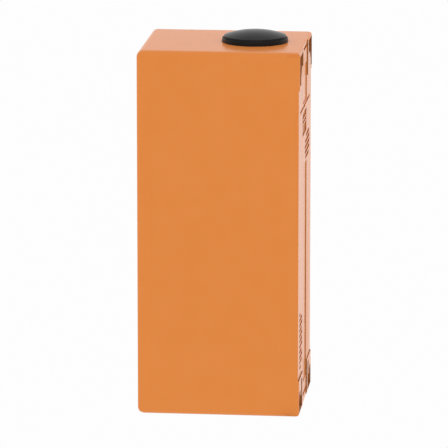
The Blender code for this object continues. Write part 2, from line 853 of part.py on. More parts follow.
def make_guide(side_name, x, block, table, cover):
    """One shoulder bolt through the punch block, with its return spring."""
    shank_top_z = BLOCK_TOP_Z + GAP
    bolt_length = shank_top_z - TABLE_LOW_Z
    turned(
        "guide_bolt_" + side_name,
        [
            (0.0, GUIDE_HEAD_HEIGHT),
            (GUIDE_HEAD_RADIUS * 0.85, GUIDE_HEAD_HEIGHT),
            (GUIDE_HEAD_RADIUS, GUIDE_HEAD_HEIGHT * 0.8),
            (GUIDE_HEAD_RADIUS, 0.0),
            (GUIDE_RADIUS, 0.0),
            (GUIDE_RADIUS, -bolt_length),
            (0.0, -bolt_length),
        ],
        (x, BUTTON_Y, shank_top_z),
        "zinc_steel",
        sides=MEDIUM_SIDES,
    )
    for target in (block, table, cover):
        drill(
            target,
            f"guide_hole_{side_name}_{target.name}",
            (x, BUTTON_Y, TABLE_LOW_Z - TABLE_THICKNESS),
            (0, 0, 1),
            bolt_length + 2 * TABLE_THICKNESS,
            GUIDE_RADIUS + GAP,
            MEDIUM_SIDES,
        )
    coil(
        "return_spring_" + side_name,
        (x, BUTTON_Y),
        COVER_TOP_Z + GAP,
        BLOCK_LOW_Z - GAP,
        GUIDE_RADIUS + GAP + RETURN_WIRE,
        RETURN_WIRE,
        RETURN_TURNS,
        "spring_steel",
    )


def make_bezel(hood):
    """The cup that the button moves in. It comes up through the hood and is screwed on from below."""
    inner = BEZEL_RADIUS - BEZEL_WALL
    flange_top = BODY_HEIGHT - HOOD_WALL - GAP
    flange_radius = BEZEL_RADIUS + BEZEL_FLANGE_REACH
    bush_hole = STEM_RADIUS + GAP + BUSH_WALL + GAP
    bezel = turned(
        "button_bezel",
        [
            (inner + BEZEL_WALL * 0.3, BEZEL_TOP_Z),
            (BEZEL_RADIUS - BEZEL_WALL * 0.3, BEZEL_TOP_Z),
            (BEZEL_RADIUS, BEZEL_TOP_Z - BEZEL_WALL * 0.3),
            (BEZEL_RADIUS, flange_top),
            (flange_radius, flange_top),
            (flange_radius, flange_top - BEZEL_FLANGE),
            (BEZEL_RADIUS, flange_top - BEZEL_FLANGE),
            (BEZEL_RADIUS, CUP_LOW_Z),
            (bush_hole, CUP_LOW_Z),
            (bush_hole, CUP_FLOOR_Z),
            (inner, CUP_FLOOR_Z),
            (inner, BEZEL_TOP_Z - BEZEL_WALL * 0.3),
        ],
        (0, BUTTON_Y, 0),
        "black_plastic",
        closed=True,
    )
    for i in range(3):
        angle = math.radians(90 + 180 / ROUND_SIDES + 120 * i)
        reach = (BEZEL_RADIUS + flange_radius) / 2
        x = reach * math.cos(angle)
        y = BUTTON_Y + reach * math.sin(angle)
        screw(
            f"bezel_screw_{i + 1}",
            (x, y, flange_top - BEZEL_FLANGE - GAP),
            (0, 0, 1),
            BEZEL_SCREW,
            "zinc_steel",
            (bezel, hood),
        )
    bush_radius = STEM_RADIUS + GAP + BUSH_WALL
    turned(
        "stem_bush",
        [
            (bush_radius, CUP_FLOOR_Z + BUSH_FLANGE),
            (bush_radius, CUP_LOW_Z - GAP),
            (bush_radius + BUSH_WALL, CUP_LOW_Z - GAP),
            (bush_radius + BUSH_WALL, CUP_LOW_Z - GAP - BUSH_FLANGE),
            (STEM_RADIUS + GAP, CUP_LOW_Z - GAP - BUSH_FLANGE),
            (STEM_RADIUS + GAP, CUP_FLOOR_Z + BUSH_FLANGE),
        ],
        (0, BUTTON_Y, 0),
        "bronze",
        closed=True,
        sides=MEDIUM_SIDES,
    )


def dome_profile():
    """Points of the cap's round top from its centre out to its rim: an arc of one circle."""
    rise = CAP_TOP_Z - CAP_RIM_Z
    sphere_radius = (CAP_RADIUS**2 + rise**2) / (2 * rise)
    full_angle = math.asin(CAP_RADIUS / sphere_radius)
    points = []
    for i in range(DOME_STEPS + 1):
        angle = full_angle * i / DOME_STEPS
        height = CAP_TOP_Z - sphere_radius * (1 - math.cos(angle))
        points.append((sphere_radius * math.sin(angle), height))
    return points


def make_button():
    """The domed cap, the stem with its clip, and the spring between cap and cup."""
    stem_top_z = CAP_INNER_Z + CAP_WALL / 2
    clip_top_z = CUP_LOW_Z - GAP - BUSH_FLANGE - GAP
    clip_low_z = clip_top_z - CLIP_THICKNESS
    groove_radius = STEM_RADIUS - 1.2 * MM
    turned(
        "button_cap",
        [
            *dome_profile(),
            (CAP_RADIUS, CAP_LOW_Z),
            (CAP_RADIUS - CAP_WALL, CAP_LOW_Z),
            (CAP_RADIUS - CAP_WALL, CAP_RIM_Z - CAP_WALL),
            (CAP_RADIUS - 2 * CAP_WALL, CAP_INNER_Z),
            (CAP_BOSS_RADIUS, CAP_INNER_Z),
            (CAP_BOSS_RADIUS, CAP_LOW_Z),
            (STEM_RADIUS + GAP, CAP_LOW_Z),
            (STEM_RADIUS + GAP, stem_top_z + GAP),
            (0.0, stem_top_z + GAP),
        ],
        (0, BUTTON_Y, 0),
        "black_plastic",
    )
    stem_low_z = ANVIL_TOP_Z + GAP
    turned(
        "button_stem",
        [
            (0.0, stem_top_z),
            (STEM_RADIUS, stem_top_z),
            (STEM_RADIUS, clip_top_z),
            (groove_radius, clip_top_z),
            (groove_radius, clip_low_z - GAP),
            (STEM_RADIUS, clip_low_z - GAP),
            (STEM_RADIUS, stem_low_z + STEM_TIP_CHAMFER),
            (STEM_RADIUS - STEM_TIP_CHAMFER, stem_low_z),
            (0.0, stem_low_z),
        ],
        (0, BUTTON_Y, 0),
        "spring_steel",
        sides=MEDIUM_SIDES,
    )
    clip = turned(
        "stem_clip",
        ring_profile(
            STEM_RADIUS + CLIP_REACH,
            groove_radius + GAP,
            clip_low_z,
            clip_top_z - GAP,
        ),
        (0, BUTTON_Y, 0),
        "spring_steel",
        closed=True,
        sides=MEDIUM_SIDES,
    )
    mouth = groove_radius * 0.8
    cut_box(
        clip,
        "clip_mouth",
        (-mouth, BUTTON_Y, clip_low_z - GAP),
        (mouth, BUTTON_Y + 2 * STEM_RADIUS, clip_top_z + GAP),
    )
    coil(
        "button_spring",
        (0, BUTTON_Y),
        CUP_FLOOR_Z + GAP,
        CAP_INNER_Z - GAP,
        SPRING_RADIUS,
        SPRING_WIRE,
        SPRING_TURNS,
        "spring_steel",
    )


def make_chad_collection(table, plate):
    """The chute below the die, the lift-out bin and the shelf that it stands on."""
    flange_top = TABLE_LOW_Z - GAP
    half_x = CHUTE_WIDTH / 2
    half_y = CHUTE_DEPTH / 2
    chute = box(
        "chad_chute",
        (-half_x, BUTTON_Y - half_y, flange_top - CHUTE_LENGTH),
        (half_x, BUTTON_Y + half_y, flange_top),
        "zinc_steel",
    )
    add_box(
        chute,
        "chute_flange",
        (-half_x - CHUTE_FLANGE, BUTTON_Y - half_y, flange_top - CHUTE_WALL),
        (half_x + CHUTE_FLANGE, BUTTON_Y + half_y, flange_top),
    )
    cut_box(
        chute,
        "chute_inside",
        (-half_x + CHUTE_WALL, BUTTON_Y - half_y + CHUTE_WALL, 0),
        (half_x - CHUTE_WALL, BUTTON_Y + half_y - CHUTE_WALL, flange_top + GAP),
    )
    shelf_low = OPENING_LOW_Z + 2 * GAP
    shelf_top = shelf_low + SHELF_THICKNESS
    half_bin = BIN_WIDTH / 2
    bin_front = -BIN_DEPTH / 2
    shelf_rear = PLATE_FRONT_Y - GAP
    shelf = box(
        "bin_shelf",
        (-half_bin, bin_front - GAP - SHELF_THICKNESS, shelf_low),
        (half_bin, shelf_rear, shelf_top + 3 * SHELF_LIP),
        "zinc_steel",
    )
    cut_box(
        shelf,
        "shelf_room",
        (-BIN_WIDTH, bin_front - GAP, shelf_top),
        (BIN_WIDTH, shelf_rear - SHELF_THICKNESS, BODY_HEIGHT),
    )
    cut_box(
        shelf,
        "shelf_lip_top",
        (-BIN_WIDTH, FRONT_Y, shelf_top + SHELF_LIP),
        (BIN_WIDTH, 0, BODY_HEIGHT),
    )
    bin_low = shelf_top + GAP
    bin_body = box(
        "chad_bin",
        (-half_bin, bin_front, bin_low),
        (half_bin, BIN_DEPTH / 2, bin_low + BIN_HEIGHT),
        "dark_plastic",
        2 * MM,
        2,
    )
    cut_box(
        bin_body,
        "bin_inside",
        (-half_bin + BIN_WALL, bin_front + BIN_WALL, bin_low + BIN_WALL),
        (half_bin - BIN_WALL, BIN_DEPTH / 2 - BIN_WALL, bin_low + 2 * BIN_HEIGHT),
    )
    for side_name, x_side in (("left", -1), ("right", 1)):
        screw(
            "chute_screw_" + side_name,
            (
                x_side * (half_x + CHUTE_FLANGE / 2),
                BUTTON_Y + half_y - CHUTE_FLANGE / 2,
                flange_top - CHUTE_WALL - GAP,
            ),
            (0, 0, 1),
            (SMALL_SCREW[0], CHUTE_SCREW_LENGTH, SMALL_SCREW[2], SMALL_SCREW[3]),
            "zinc_steel",
            (chute, table),
        )
        screw(
            "shelf_screw_" + side_name,
            (
                x_side * half_bin * 0.6,
                shelf_rear - SHELF_THICKNESS - GAP,
                shelf_top + 2 * SHELF_LIP,
            ),
            (0, 1, 0),
            plate_screw(SHELF_THICKNESS),
            "zinc_steel",
            (shelf, plate),
        )


def main():
    hood = make_hood()
    plate = make_chassis()
    make_posts(hood, plate)
    table, cover = make_ticket_path()
    make_stop(table)
    make_throat()
    make_punch(table, cover)
    make_bezel(hood)
    make_button()
    make_chad_collection(table, plate)
    for side_name, x_side in (("left", -1), ("right", 1)):
        make_cheek(side_name, x_side, plate, table)


main()
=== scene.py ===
import json
import math

import bmesh
import bpy
import numpy as np
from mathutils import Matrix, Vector


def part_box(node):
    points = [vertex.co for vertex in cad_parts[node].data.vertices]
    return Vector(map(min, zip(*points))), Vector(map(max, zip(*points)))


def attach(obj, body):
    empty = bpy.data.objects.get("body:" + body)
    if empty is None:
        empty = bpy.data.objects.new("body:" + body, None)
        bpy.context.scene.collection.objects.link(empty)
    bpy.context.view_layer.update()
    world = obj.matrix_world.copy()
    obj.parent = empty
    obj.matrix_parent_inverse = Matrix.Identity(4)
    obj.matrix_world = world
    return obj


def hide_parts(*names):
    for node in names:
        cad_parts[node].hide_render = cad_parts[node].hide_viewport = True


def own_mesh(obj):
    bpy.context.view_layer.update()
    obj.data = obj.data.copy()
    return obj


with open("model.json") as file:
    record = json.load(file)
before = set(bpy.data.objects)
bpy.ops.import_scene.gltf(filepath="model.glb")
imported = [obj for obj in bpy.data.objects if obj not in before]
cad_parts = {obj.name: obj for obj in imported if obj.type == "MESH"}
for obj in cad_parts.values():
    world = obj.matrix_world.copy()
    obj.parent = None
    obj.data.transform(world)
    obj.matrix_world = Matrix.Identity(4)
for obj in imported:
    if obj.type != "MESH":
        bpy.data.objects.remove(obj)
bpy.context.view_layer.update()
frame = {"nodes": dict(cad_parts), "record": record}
cadNodes = frame["nodes"]
bodyOfNode = {
    node: body for body, members in frame["record"]["behaviour"]["bodies"].items() for node in members
}
slotOfNode = {part["node"]: part["material_slot"] for part in frame["record"]["subparts"]}
mm = 0.001
print("frame loaded with", len(cadNodes), "nodes")


# ---- finishes: two close tones, a grain that mixes them, and a fine bump ----

finishes = {
    "hood_paint": {
        "tones": ((0.756, 0.243, 0.054), (0.765, 0.248, 0.057)),
        "metal": 0.0,
        "shine": (0.18, 0.2),
        "grain": 60.0,
        "stretch": (1, 1, 1),
        "bump": (900.0, 0.005),
        "ior": 1.16,
    },
    "button_plastic": {
        "tones": ((0.016, 0.016, 0.016), (0.021, 0.021, 0.021)),
        "metal": 0.0,
        "shine": (0.2, 0.26),
        "grain": 160.0,
        "stretch": (1, 1, 1),
        "bump": (1500.0, 0.01),
        "ior": 1.13,
    },
    "black_plastic": {
        "tones": ((0.007, 0.007, 0.007), (0.011, 0.011, 0.011)),
        "metal": 0.0,
        "shine": (0.34, 0.42),
        "grain": 160.0,
        "stretch": (1, 1, 1),
        "bump": (1500.0, 0.02),
        "ior": 1.22,
    },
    "bin_plastic": {
        "tones": ((0.03, 0.031, 0.034), (0.042, 0.043, 0.046)),
        "metal": 0.0,
        "shine": (0.5, 0.62),
        "grain": 90.0,
        "stretch": (1, 1, 1),
        "bump": (1200.0, 0.08),
        "ior": 1.48,
    },
    "zinc_steel": {
        "tones": ((0.5, 0.51, 0.52), (0.62, 0.63, 0.64)),
        "metal": 1.0,
        "shine": (0.3, 0.44),
        "grain": 45.0,
        "stretch": (1, 1, 1),
        "bump": (700.0, 0.03),
        "ior": 1.5,
    },
    "screw_steel": {
        "tones": ((0.46, 0.46, 0.47), (0.56, 0.56, 0.57)),
        "metal": 1.0,
        "shine": (0.24, 0.34),
        "grain": 400.0,
        "stretch": (1, 1, 1),
        "bump": (2200.0, 0.03),
        "ior": 1.5,
    },
    "dark_screws": {
        "tones": ((0.025, 0.023, 0.021), (0.045, 0.042, 0.038)),
        "metal": 0.0,
        "shine": (0.4, 0.5),
        "grain": 300.0,
        "stretch": (1, 1, 1),
        "bump": (1800.0, 0.04),
        "ior": 1.4,
    },
    "tool_steel": {
        "tones": ((0.3, 0.305, 0.31), (0.4, 0.405, 0.41)),
        "metal": 1.0,
        "shine": (0.22, 0.36),
        "grain": 60.0,
        "stretch": (30, 1, 1),  # ground along X
        "bump": (500.0, 0.04),
        "ior": 1.5,
    },
    "spring_steel": {
        "tones": ((0.34, 0.34, 0.35), (0.44, 0.44, 0.45)),
        "metal": 1.0,
        "shine": (0.2, 0.3),
        "grain": 300.0,
        "stretch": (1, 1, 4),
        "bump": (1800.0, 0.02),
        "ior": 1.5,
    },
    "bronze": {
        "tones": ((0.42, 0.25, 0.1), (0.55, 0.35, 0.15)),
        "metal": 1.0,
        "shine": (0.3, 0.45),
        "grain": 500.0,
        "stretch": (1, 1, 1),
        "bump": (2500.0, 0.06),
        "ior": 1.5,
    },
}


def makeFinish(name, look):
    made = bpy.data.materials.new(name)
    made.use_nodes = True
    tree = made.node_tree
    shader = tree.nodes["Principled BSDF"]
    shader.inputs["Metallic"].default_value = look["metal"]
    shader.inputs["IOR"].default_value = look["ior"]
    place = tree.nodes.new("ShaderNodeTexCoord")
    stretch = tree.nodes.new("ShaderNodeMapping")
    stretch.inputs["Scale"].default_value = look["stretch"]
    tree.links.new(place.outputs["Object"], stretch.inputs["Vector"])

    grain = tree.nodes.new("ShaderNodeTexNoise")
    grain.inputs["Scale"].default_value = look["grain"]
    grain.inputs["Detail"].default_value = 4.0
    tree.links.new(stretch.outputs["Vector"], grain.inputs["Vector"])

    tones = tree.nodes.new("ShaderNodeValToRGB")
    for stop, where, colour in zip(tones.color_ramp.elements, (0.35, 0.65), look["tones"]):
        stop.position = where
        stop.color = (*colour, 1.0)
    tree.links.new(grain.outputs["Fac"], tones.inputs["Fac"])
    tree.links.new(tones.outputs["Color"], shader.inputs["Base Color"])

    shine = tree.nodes.new("ShaderNodeMapRange")
    shine.inputs["From Min"].default_value = 0.3
    shine.inputs["From Max"].default_value = 0.7
    shine.inputs["To Min"].default_value = look["shine"][0]
    shine.inputs["To Max"].default_value = look["shine"][1]
    tree.links.new(grain.outputs["Fac"], shine.inputs["Value"])
    tree.links.new(shine.outputs["Result"], shader.inputs["Roughness"])

    fine = tree.nodes.new("ShaderNodeTexNoise")
    fine.inputs["Scale"].default_value = look["bump"][0]
    tree.links.new(stretch.outputs["Vector"], fine.inputs["Vector"])
    relief = tree.nodes.new("ShaderNodeBump")
    relief.inputs["Strength"].default_value = look["bump"][1]
    relief.inputs["Distance"].default_value = 0.0002
    tree.links.new(fine.outputs["Fac"], relief.inputs["Height"])
    tree.links.new(relief.outputs["Normal"], shader.inputs["Normal"])
    return made


# painted shade: a darker, matt orange laid on the front's recesses in place of the shade that falls in
# them
paintedRecessShade = {
    "colour": (0.36, 0.13, 0.042),
    "padShare": 1.0,
    "signShare": 0.6,
    "matteFrom": 0.55,  # at this share of the tone the surface has lost its gloss
    "channelShare": 0.2,
    "middle": 150.0 * mm,  # height of the front's middle
    "pads": (19.5 * mm, 119.0 * mm),  # beyond this from the middle of the front, across and up
    "signZones": ((-22, 15, 224.5, 245), (-2, 45, 200.5, 223), (-45, -17, 30, 85)),  # in mm
    "frontDepth": -61.4 * mm,  # faces in front of this belong to the front's relief
    "panelDepth": -64.9 * mm,  # flat faces in front of this are the panel and the pads
    "halfWidth": 55.2 * mm,
    "height": (3.1 * mm, 296.9 * mm),
    "channelHalf": 17.1 * mm,
    "channelDepth": -64.3 * mm,
    "signField": (200 * mm, 251 * mm),  # the channel stops below and above this
    "slot": (44.0 * mm, 248.8 * mm, 1.6 * mm),  # half width, height and half height left in paint
}


def paintRecessShade(material, tone):
    # painted shade in the relief: the face attribute "relief" is the share of a dark tone that stands in
    # # for the shade that falls in the recesses, and where it is large the gloss goes as well
    tree = material.node_tree
    shader = tree.nodes["Principled BSDF"]
    painted = shader.inputs["Base Color"].links[0].from_socket
    relief = tree.nodes.new("ShaderNodeAttribute")
    relief.attribute_name = "relief"
    blend = tree.nodes.new("ShaderNodeMix")
    blend.data_type = "RGBA"
    colours = [socket for socket in blend.inputs if socket.type == "RGBA"]
    tree.links.new(painted, colours[0])
    colours[1].default_value = (*tone["colour"], 1.0)
    tree.links.new(relief.outputs["Fac"], blend.inputs["Factor"])
    mixed = [socket for socket in blend.outputs if socket.type == "RGBA"][0]
    tree.links.new(mixed, shader.inputs["Base Color"])
    gloss = tree.nodes.new("ShaderNodeMapRange")
    gloss.inputs["From Max"].default_value = tone["matteFrom"]
    gloss.inputs["To Min"].default_value = 0.5
    gloss.inputs["To Max"].default_value = 0.03
    tree.links.new(relief.outputs["Fac"], gloss.inputs["Value"])
    tree.links.new(gloss.outputs["Result"], shader.inputs["Specular IOR Level"])


def markReliefShade(mesh, tone):
    # a face is relief when its middle lies inside the front's border, near the front,
    # and it is neither panel, pad, channel floor nor slot
    count = len(mesh.polygons)
    centre = np.empty(count * 3)
    normal = np.empty(count * 3)
    mesh.polygons.foreach_get("center", centre)
    mesh.polygons.foreach_get("normal", normal)
    centre = centre.reshape(-1, 3)
    facing = np.abs(normal.reshape(-1, 3)[:, 1]) > 0.9
    x, y, z = np.abs(centre[:, 0]), centre[:, 1], centre[:, 2]
    inBorder = (x < tone["halfWidth"]) & (z > tone["height"][0]) & (z < tone["height"][1])
    panel = facing & (y < tone["panelDepth"])
    plain = (z > tone["signField"][0]) & (z < tone["signField"][1])
    channel = facing & (x < tone["channelHalf"]) & (y < tone["channelDepth"]) & ~plain
    halfWidth, height, halfHeight = tone["slot"]
    slot = (x < halfWidth) & (np.abs(z - height) < halfHeight)
    relief = inBorder & (y < tone["frontDepth"]) & ~panel & ~slot
    relief &= ~channel
    # share of the painted shade: channel walls least, signs more, the pockets by the pads fully
    share = np.full(count, tone["channelShare"])
    for left, right, low, high in tone["signZones"]:
        across = (centre[:, 0] > left * mm) & (centre[:, 0] < right * mm)
        share[across & (z > low * mm) & (z < high * mm)] = tone["signShare"]
    share[(x > tone["pads"][0]) & (np.abs(z - tone["middle"]) > tone["pads"][1])] = tone["padShare"]
    layer = mesh.attributes.new("relief", "FLOAT", "FACE")
    layer.data.foreach_set("value", (relief * share).astype(np.float32))


finishOfSlot = {name: makeFinish(name, look) for name, look in finishes.items()}
paintRecessShade(finishOfSlot["hood_paint"], paintedRecessShade)
print("finishes made:", len(finishOfSlot))


# ---- surfaces ----

def surfaceObject(name, points, faces, node, crease=35):
    # puts the finished arrays into a mesh, in the row frame, in place of a CAD node
    mesh = bpy.data.meshes.new(name)
    mesh.from_pydata(points.tolist(), [], faces)
    mesh.validate()
    return adopt(name, mesh, node, crease)


def adopt(name, mesh, node, crease=35):
    # gives the mesh its finish and lets it ride where the CAD node rides
    mesh.materials.clear()
    mesh.materials.append(finishOfSlot[slotOfNode[node]])
    mesh.shade_smooth()
    mesh.set_sharp_from_angle(angle=math.radians(crease))
    piece = bpy.data.objects.new(name, mesh)
    bpy.context.scene.collection.objects.link(piece)
    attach(piece, bodyOfNode[node])
    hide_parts(node)
    return piece


def axisFrame(axis):
    # three unit vectors as rows: two across the axis and the axis itself
    along = np.array(axis, dtype=float)
    along /= np.linalg.norm(along)
    helper = np.array([1.0, 0.0, 0.0]) if abs(along[0]) < 0.9 else np.array([0.0, 1.0, 0.0])
    across = np.cross(along, helper)
    across /= np.linalg.norm(across)
    return np.stack([across, np.cross(along, across), along])


def turnedSurface(name, profile, foot, axis, node, sides=64, closed=False):
    # a point of the profile at radius r and height h goes round the axis at angle a:
    # foot + r k(a) (cos a, sin a) + h axis. k is 1 for a round ring; for a hexagonal one it is the
    # distance to a hexagon's side, cos 30 / cos(a from the middle of that side).
    # Profiles run down the outer side; closed ones come back up the inner side.
    rows = np.array([(*point, 0.0)[:3] for point in profile])
    angle = np.linspace(0, 2 * np.pi, sides, endpoint=False)
    fromSide = np.mod(angle, np.pi / 3) - np.pi / 6
    hexagon = math.cos(np.pi / 6) / np.cos(fromSide)
    radius = rows[:, :1] * (1 + rows[:, 2:3] * (hexagon - 1))
    grid = np.stack(
        [radius * np.cos(angle), radius * np.sin(angle), np.repeat(rows[:, 1:2], sides, axis=1)],
        axis=2,
    )
    count = len(rows)
    index = np.arange(count * sides).reshape(count, sides)
    poles = [row for row in (0, count - 1) if not closed and rows[row, 0] == 0]
    for row in poles:
        index[row] = index[row, 0]  # the whole ring is one point
    upper = index if closed else index[:-1]
    lower = np.roll(index, -1, axis=0) if closed else index[1:]
    quads = np.stack(
        [upper, lower, np.roll(lower, -1, axis=1), np.roll(upper, -1, axis=1)], axis=2
    ).reshape(-1, 4)
    faces = [list(dict.fromkeys(quad)) for quad in quads.tolist()]
    used = np.unique(index)
    renumber = np.zeros(count * sides, dtype=int)
    renumber[used] = np.arange(len(used))
    faces = [[int(renumber[corner]) for corner in face] for face in faces]
    points = grid.reshape(-1, 3)[used] @ axisFrame(axis) + np.array(foot)
    return surfaceObject(name, points, faces, node)


def roundedCorner(centre, radius, startDegrees, endDegrees, steps=6):
    # points of a circle's arc in the (radius, height) plane
    angle = np.radians(np.linspace(startDegrees, endDegrees, steps + 1))
    return list(zip(centre[0] + radius * np.cos(angle), centre[1] + radius * np.sin(angle)))


coilRows = 40  # rows of points for each turn
coilSides = 14
coilEase = 0.15  # how gently the wire leaves its flat end turns


def coilSurface(name, centre, low, high, look, node):
    # the wire's centre goes round at angle t while its height rises from one flat end turn to the other;
    # the wire is a circle carried along that line, square to it
    turns = look["turns"]
    wire = look["wire"] / 2
    turn = np.linspace(0, turns, int(turns * coilRows) + 1)
    share = np.clip((turn - look["endTurn"]) / (turns - 2 * look["endTurn"]), 0, 1)
    eased = share * share * (3 - 2 * share)
    share = eased * coilEase + share * (1 - coilEase)
    height = low + wire + (high - low - 2 * wire) * share
    angle = 2 * np.pi * turn
    line = np.stack(
        [
            centre[0] + look["radius"] * np.cos(angle),
            centre[1] + look["radius"] * np.sin(angle),
            height,
        ],
        axis=1,
    )
    forward = np.gradient(line, axis=0)
    forward /= np.linalg.norm(forward, axis=1, keepdims=True)
    outward = np.stack([np.cos(angle), np.sin(angle), np.zeros_like(angle)], axis=1)
    outward -= forward * (outward * forward).sum(axis=1, keepdims=True)
    outward /= np.linalg.norm(outward, axis=1, keepdims=True)
    upward = np.cross(forward, outward)
    around = np.linspace(0, 2 * np.pi, coilSides, endpoint=False)[None, :, None]
    tube = line[:, None] + wire * (
        np.cos(around) * outward[:, None] + np.sin(around) * upward[:, None]
    )
    count = len(line)
    index = np.arange(count * coilSides).reshape(count, coilSides)
    quads = np.stack(
        [
            index[:-1],
            np.roll(index[:-1], -1, axis=1),
            np.roll(index[1:], -1, axis=1),
            index[1:],
        ],
        axis=2,
    ).reshape(-1, 4)
    faces = quads.tolist() + [index[0][::-1].tolist(), index[-1].tolist()]
    return surfaceObject(name, tube.reshape(-1, 3), faces, node, crease=60)


def boxParts(node):
    low, high = (np.array(corner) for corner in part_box(node))
    return low, high, (low + high) / 2


# ---- button ----

button = {
    "domeRows": 40,
    "domeShare": 0.985,  # of the dome's angle, before it turns over its shoulder
    "edge": 0.3 * mm,
    "wall": 2.0 * mm,
    "bossRadius": 8.0 * mm,
    "stemRoom": 5.3 * mm,
    "rimHeight": 4.2 * mm,  # below the top of the dome
}


def buildCap():
    # the dome is part of a ball: its radius follows from the cap's radius and the dome's rise
    low, high, middle = boxParts("button_cap")
    radius = (high[0] - low[0]) / 2
    top = high[2] - low[2]
    rise = button["rimHeight"]
    rim = top - rise
    ball = (radius**2 + rise**2) / (2 * rise)
    edge = math.asin(radius / ball)
    tilt = np.linspace(0, edge * button["domeShare"], button["domeRows"])
    dome = list(zip(ball * np.sin(tilt), top - ball * (1 - np.cos(tilt))))
    dome[0] = (0.0, top)
    lastRadius, lastHeight = dome[-1]
    shoulder = [
        (lastRadius + (radius - lastRadius) * 0.75, lastHeight - (lastHeight - rim) * 0.45),
        (radius, rim - 0.25 * mm),
    ]
    wall = button["wall"]
    boss = button["bossRadius"]
    room = button["stemRoom"]
    small = button["edge"]
    stemTop = rim + wall / 2 + small
    inside = [
        (radius, small),
        (radius - small, 0.0),
        (radius - wall, 0.0),
        (radius - wall, rim - wall),
        (radius - 2 * wall, rim),
        (boss + 0.8 * mm, rim),
        (boss, rim - 0.8 * mm),
        (boss, 0.2 * mm),
        (boss - 0.2 * mm, 0.0),
        (room, 0.0),
        (room, stemTop),
        (0.0, stemTop),
    ]
    foot = (middle[0], middle[1], low[2])
    turnedSurface("buttonCap", dome + shoulder + inside, foot, (0, 0, 1), "button_cap", sides=128)


bezel = {
    "wall": 1.35 * mm,
    "lipRound": 0.5 * mm,
    "flange": 2.5 * mm,
    "flangeTop": 296.7 * mm,
    "floor": 283.0 * mm,
    "tubeRadius": 26.75 * mm,
    "bushHole": 7.8 * mm,
    "edge": 0.3 * mm,
    "footEdge": 1.0 * mm,
}


def buildBezel():
    low, high, middle = boxParts("button_bezel")
    flangeRadius = (high[0] - low[0]) / 2
    outer = bezel["tubeRadius"]
    inner = outer - bezel["wall"]
    lip = bezel["lipRound"]
    top = high[2]
    edge = bezel["edge"]
    flangeTop = bezel["flangeTop"]
    flangeLow = flangeTop - bezel["flange"]
    profile = [
        *roundedCorner((inner + lip, top - lip), lip, 180, 90),
        *roundedCorner((outer - lip, top - lip), lip, 90, 0),
        (outer, flangeTop),
        (flangeRadius - edge, flangeTop),
        (flangeRadius, flangeTop - edge),
        (flangeRadius, flangeLow + edge),
        (flangeRadius - edge, flangeLow),
        (outer, flangeLow),
        (outer, low[2] + bezel["footEdge"]),
        (outer - bezel["footEdge"], low[2]),
        (bezel["bushHole"], low[2]),
        (bezel["bushHole"], bezel["floor"]),
        (inner, bezel["floor"]),
    ]
    turnedSurface(
        "buttonBezel", profile, (middle[0], middle[1], 0), (0, 0, 1), "button_bezel", 128, True
    )


stem = {
    "edge": 0.4 * mm,
    "chamfer": 1.0 * mm,
    "groove": 1.2 * mm,
    "grooveTop": 277.9 * mm,
    "grooveLow": 276.4 * mm,
}
bush = {"wall": 2.2 * mm, "bore": 5.3 * mm, "collar": 1.5 * mm, "edge": 0.3 * mm}


def buildStem():
    low, high, middle = boxParts("button_stem")
    radius = (high[0] - low[0]) / 2
    inner = radius - stem["groove"]
    profile = [
        (0.0, high[2]),
        (radius - stem["edge"], high[2]),
        (radius, high[2] - stem["edge"]),
        (radius, stem["grooveTop"]),
        (inner, stem["grooveTop"]),
        (inner, stem["grooveLow"]),
        (radius, stem["grooveLow"]),
        (radius, low[2] + stem["chamfer"]),
        (radius - stem["chamfer"], low[2]),
        (0.0, low[2]),
    ]
    turnedSurface("buttonStem", profile, (middle[0], middle[1], 0), (0, 0, 1), "button_stem", 48)


def buildBush():
    low, high, middle = boxParts("stem_bush")
    collarRadius = (high[0] - low[0]) / 2
    body = collarRadius - bush["wall"]
    bore = bush["bore"]
    edge = bush["edge"]
    profile = [
        (bore + edge, high[2]),
        (body - edge, high[2]),
        (body, high[2] - edge),
        (body, low[2] + bush["collar"]),
        (collarRadius, low[2] + bush["collar"]),
        (collarRadius, low[2]),
        (bore, low[2]),
        (bore, high[2] - edge),
    ]
    turnedSurface("stemBush", profile, (middle[0], middle[1], 0), (0, 0, 1), "stem_bush", 48, True)


buildCap()
buildBezel()
buildStem()
buildBush()
print("button, bezel, stem and bush made")


# ---- springs ----

buttonSpring = {"radius": 12.5 * mm, "wire": 1.5 * mm, "turns": 4.5, "endTurn": 0.75, "travel": 5 * mm}
returnSpring = {"radius": 5.2 * mm, "wire": 0.9 * mm, "turns": 3.5, "endTurn": 0.75, "travel": 5 * mm}


def buildSpring(name, node, look):
    low, high, middle = boxParts(node)
    piece = coilSurface(name, middle, low[2], high[2], look, node)
    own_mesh(piece)


buildSpring("buttonSpring", "button_spring", buttonSpring)
buildSpring("returnSpringLeft", "return_spring_left", returnSpring)
buildSpring("returnSpringRight", "return_spring_right", returnSpring)
print("springs wound")


# ---- screws, bolts, posts and pins ----

screwKinds = {
    "hood_screw": {"into": (0, 1, 0), "head": 2.8 * mm, "shank": 3.0 * mm},
    "post_screw": {"into": (0, -1, 0), "head": 1.8 * mm, "shank": 2.5 * mm},
    "cheek_screw": {"into": (0, 1, 0), "head": 1.2 * mm, "shank": 1.5 * mm},
    "shelf_screw": {"into": (0, 1, 0), "head": 1.2 * mm, "shank": 1.5 * mm},
    "stop_screw": {"into": (0, 0, -1), "head": 1.2 * mm, "shank": 1.5 * mm},
    "cover_screw": {"into": (0, 0, -1), "head": 1.2 * mm, "shank": 1.5 * mm},
    "chute_screw": {"into": (0, 0, 1), "head": 1.2 * mm, "shank": 1.5 * mm},
    "bezel_screw": {"into": (0, 0, 1), "head": 1.4 * mm, "shank": 1.25 * mm},
    "table_screw": {"into": (1, 0, 0), "head": 1.2 * mm, "shank": 1.5 * mm},
    "guide_bolt": {"into": (0, 0, -1), "head": 3.5 * mm, "shank": 4.0 * mm},
}
